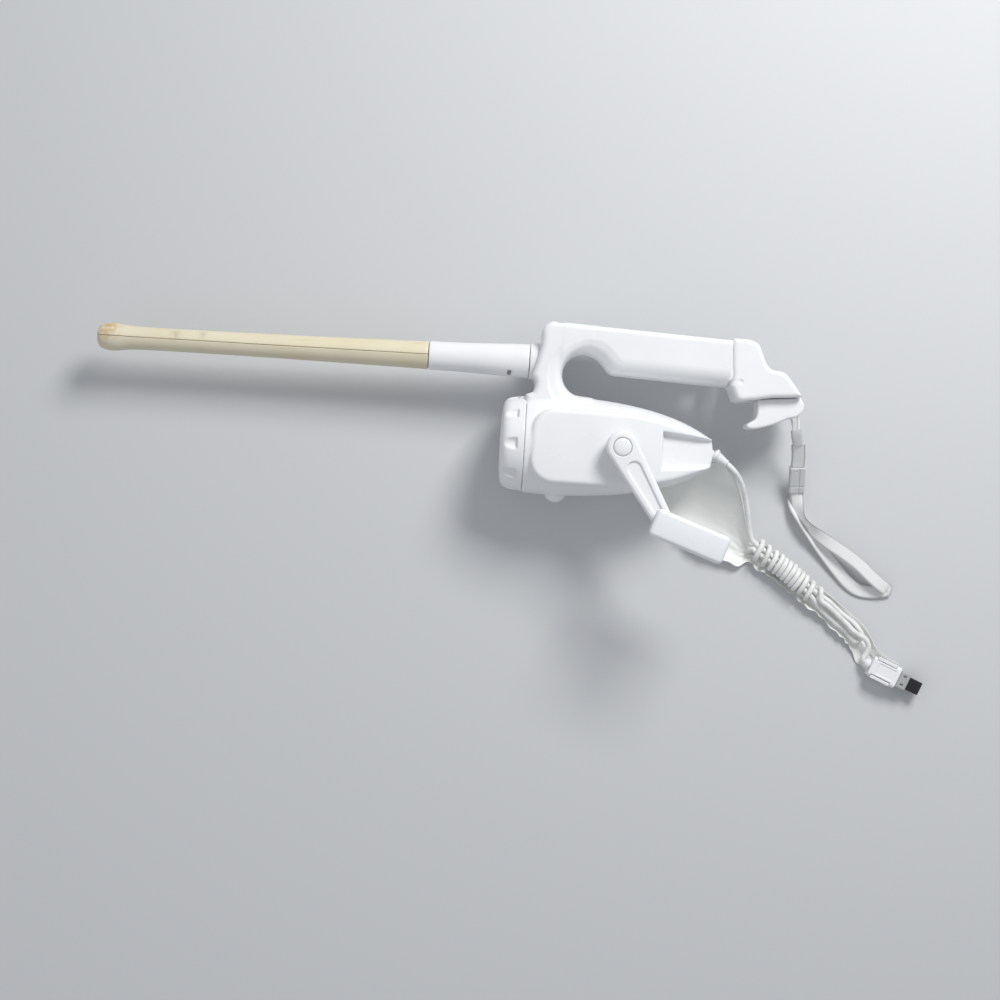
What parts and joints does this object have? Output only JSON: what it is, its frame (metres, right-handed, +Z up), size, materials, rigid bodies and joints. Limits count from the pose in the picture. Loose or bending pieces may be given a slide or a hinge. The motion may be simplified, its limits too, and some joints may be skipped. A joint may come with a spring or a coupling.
{
  "type": "fishing rod game controller",
  "caption": "Hand-held fishing-rod game controller: rod stub, closed reel with side crank, grip with a controller bay, wrist strap and a console cable in a film pouch.",
  "frame": {"origin": "point of the resting far-side face straight under the crank axle", "axes": "+X along the rod from its tip towards the tail, +Y from the reel towards the grip, +Z up out of the resting face, through the crank side"},
  "size_m": [0.6824, 0.2816, 0.113],
  "materials": {
    "white_gloss": "white injection-moulded shell plastic, semi-gloss",
    "white_matte": "white satin plastic",
    "cream": "sun-yellowed cream plastic with a brown stain at the end",
    "grey_plastic": "light grey plastic",
    "black_plastic": "black plastic",
    "steel": "plain steel",
    "acetal": "natural acetal",
    "board": "green circuit board laminate",
    "film": "soft white foam film",
    "cable": "white flexible cable jacket",
    "webbing": "pale grey woven webbing and cord"
  },
  "bodies": {
    "root": {"rod_tip_upper": "cream", "rod_tip_lower": "cream", "rod_spigot": "grey_plastic", "rod_sleeve": "white_gloss", "rod_collar": "white_gloss", "shell_near": "white_gloss", "shell_far": "white_gloss", "bayonet_ring": "acetal", "button_switch": "black_plastic", "button_spring": "steel", "axle_bush_near": "acetal", "axle_bush_far": "acetal", "gear_plate": "white_matte", "gear_bridge": "white_matte", "encoder_sensor": "black_plastic", "click_spring": "steel", "circuit_board": "board", "motion_sensor": "black_plastic", "tail_block": "white_gloss", "tail_hook": "white_gloss", "strap_post": "steel", "cable_gland": "white_matte", "strap_cord": "webbing", "strap_ferrule": "grey_plastic", "strap_webbing": "webbing", "strap_slider": "grey_plastic", "strap_loop": "webbing", "cable_lead": "cable", "cable_hank": "cable", "plug_boot": "white_matte", "plug_body": "white_gloss", "plug_latch_left": "white_matte", "plug_latch_right": "white_matte", "plug_collar": "grey_plastic", "plug_nose": "black_plastic", "film_pouch": "film", "shell_screw_1": "steel", "shell_screw_2": "steel", "shell_screw_3": "steel", "shell_screw_4": "steel", "shell_screw_5": "steel", "shell_screw_6": "steel"},
    "crank": {"crank_axle": "steel", "drive_gear": "acetal", "crank_hub": "white_gloss", "crank_arm": "white_gloss", "hub_cap": "white_gloss", "knob_pin": "steel"},
    "knob": {"crank_knob": "white_gloss", "knob_lid": "white_matte", "knob_washer": "acetal"},
    "pinion": {"pinion_shaft": "steel", "pinion": "acetal", "encoder_wheel": "black_plastic"},
    "cap": {"front_cap": "white_gloss"},
    "button": {"bottom_button": "white_gloss"}
  },
  "joints": [
    {"name": "crank_spin", "type": "hinge", "parent": "root", "child": "crank", "pos_m": [0, 0, 0.08], "axis": [0, 0, 1], "continuous": true},
    {"name": "knob_spin", "type": "hinge", "parent": "crank", "child": "knob", "pos_m": [0.03746, -0.05949, 0.1], "axis": [0, 0, 1], "continuous": true},
    {"name": "pinion_spin", "type": "hinge", "parent": "root", "child": "pinion", "pos_m": [-0.02775, 0, 0.044], "axis": [0, 0, 1], "continuous": true},
    {"name": "cap_twist", "type": "hinge", "parent": "root", "child": "cap", "pos_m": [-0.085, 0, 0.038], "axis": [1, 0, 0], "range_deg": [0, 40]},
    {"name": "button_press", "type": "slide", "parent": "root", "child": "button", "axis": [0, 1, 0], "range_m": [0, 0.0015], "stiffness_N_per_m": 600, "springref_m": -0.0008, "deforming": ["button_spring"]}
  ],
  "couplings": [
    {"joint": "pinion_spin", "follows": "crank_spin", "ratio": -2.6667}
  ]
}
